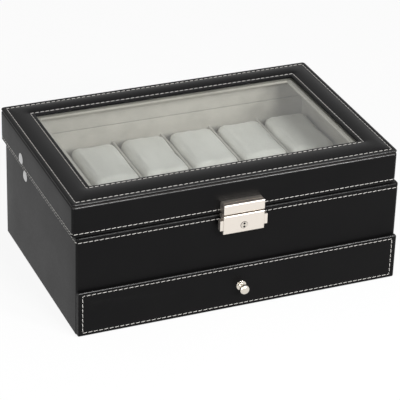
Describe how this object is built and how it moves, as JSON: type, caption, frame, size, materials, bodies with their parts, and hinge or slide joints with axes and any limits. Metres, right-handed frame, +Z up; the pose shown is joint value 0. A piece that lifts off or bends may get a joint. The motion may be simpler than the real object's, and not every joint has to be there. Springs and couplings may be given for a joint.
{
  "type": "watch box",
  "caption": "Black covered watch box with a velvet tray of cushions, a hinged glazed lid with folding stay and squeeze lock, and a drawer below.",
  "frame": {"origin": "middle of the case's underside, in the plane that the box stands on", "axes": "+X to the right along the width, -Y towards the lock and drawer front, +Z up"},
  "size_m": [0.305, 0.2129, 0.128],
  "materials": {
    "leatherette": "satin black synthetic leather with a fine grain",
    "board": "raw fibreboard, hidden under the covering",
    "velvet_lining": "short beige-grey velvet",
    "divider_velvet": "short beige-grey velvet over board",
    "cushion_velvet": "soft beige-grey velvet",
    "felt": "black felt",
    "glass": "clear flat glass",
    "satin_nickel": "satin nickel plate",
    "polished_nickel": "polished nickel plate",
    "steel": "plain steel"
  },
  "bodies": {
    "case": {"base_felt": "felt", "base_panel": "board", "side_panel_left": "board", "side_panel_right": "board", "back_panel": "board", "front_panel": "board", "tray_floor": "board", "case_cover": "leatherette", "tray_lining": "velvet_lining", "long_divider": "divider_velvet", "cross_divider_1": "divider_velvet", "cross_divider_2": "divider_velvet", "cross_divider_3": "divider_velvet", "cross_divider_4": "divider_velvet", "cross_divider_5": "divider_velvet", "cushion_front_1": "cushion_velvet", "cushion_front_2": "cushion_velvet", "cushion_front_3": "cushion_velvet", "cushion_front_4": "cushion_velvet", "cushion_front_5": "cushion_velvet", "cushion_front_6": "cushion_velvet", "cushion_back_1": "cushion_velvet", "cushion_back_2": "cushion_velvet", "cushion_back_3": "cushion_velvet", "cushion_back_4": "cushion_velvet", "cushion_back_5": "cushion_velvet", "cushion_back_6": "cushion_velvet", "hinge_leaves_case": "satin_nickel", "hinge_pins": "steel", "lock_housing": "satin_nickel", "lock_springs": "steel", "stay_stud_case": "satin_nickel"},
    "lid": {"lid_panel_front": "board", "lid_panel_back": "board", "lid_panel_left": "board", "lid_panel_right": "board", "lid_cover": "leatherette", "lid_top_frame": "leatherette", "lid_glass": "glass", "lid_window_frame": "velvet_lining", "lid_lining": "velvet_lining", "hasp": "satin_nickel", "hinge_leaves_lid": "satin_nickel", "stay_stud_lid": "satin_nickel"},
    "drawer": {"drawer_front": "board", "drawer_front_cover": "leatherette", "drawer_side_left": "board", "drawer_side_right": "board", "drawer_back": "board", "drawer_bottom": "board", "drawer_lining": "velvet_lining", "drawer_knob": "polished_nickel", "knob_screw": "steel"},
    "stay_lower": {"stay_arm_lower": "steel", "stay_elbow_rivet": "satin_nickel"},
    "stay_upper": {"stay_arm_upper": "steel"},
    "button_left": {"lock_button_left": "steel"},
    "button_right": {"lock_button_right": "steel"},
    "key_plug": {"lock_plug": "satin_nickel"}
  },
  "joints": [
    {"name": "lid_hinge", "type": "hinge", "parent": "case", "child": "lid", "pos_m": [0, 0.0994, 0.09535], "axis": [-1, 0, 0], "range_deg": [0, 95]},
    {"name": "stay_lower_pivot", "type": "hinge", "parent": "case", "child": "stay_lower", "pos_m": [-0.1437, 0.0393, 0.0858], "axis": [-1, 0, 0], "range_deg": [0, 95]},
    {"name": "stay_upper_pivot", "type": "hinge", "parent": "lid", "child": "stay_upper", "pos_m": [-0.1422, 0.0393, 0.1039], "axis": [-1, 0, 0], "range_deg": [-95, 0]},
    {"name": "drawer_slide", "type": "slide", "parent": "case", "child": "drawer", "axis": [0, -1, 0], "range_m": [0, 0.14]},
    {"name": "button_left_press", "type": "slide", "parent": "case", "child": "button_left", "axis": [1, 0, 0], "range_m": [0, 0.002], "stiffness_N_per_m": 300},
    {"name": "button_right_press", "type": "slide", "parent": "case", "child": "button_right", "axis": [-1, 0, 0], "range_m": [0, 0.002], "stiffness_N_per_m": 300},
    {"name": "key_turn", "type": "hinge", "parent": "case", "child": "key_plug", "pos_m": [-0.002, -0.1064, 0.0858], "axis": [0, -1, 0], "range_deg": [-90, 0]}
  ],
  "couplings": [
    {"joint": "stay_lower_pivot", "follows": "lid_hinge", "ratio": 1},
    {"joint": "stay_upper_pivot", "follows": "lid_hinge", "ratio": -1}
  ]
}
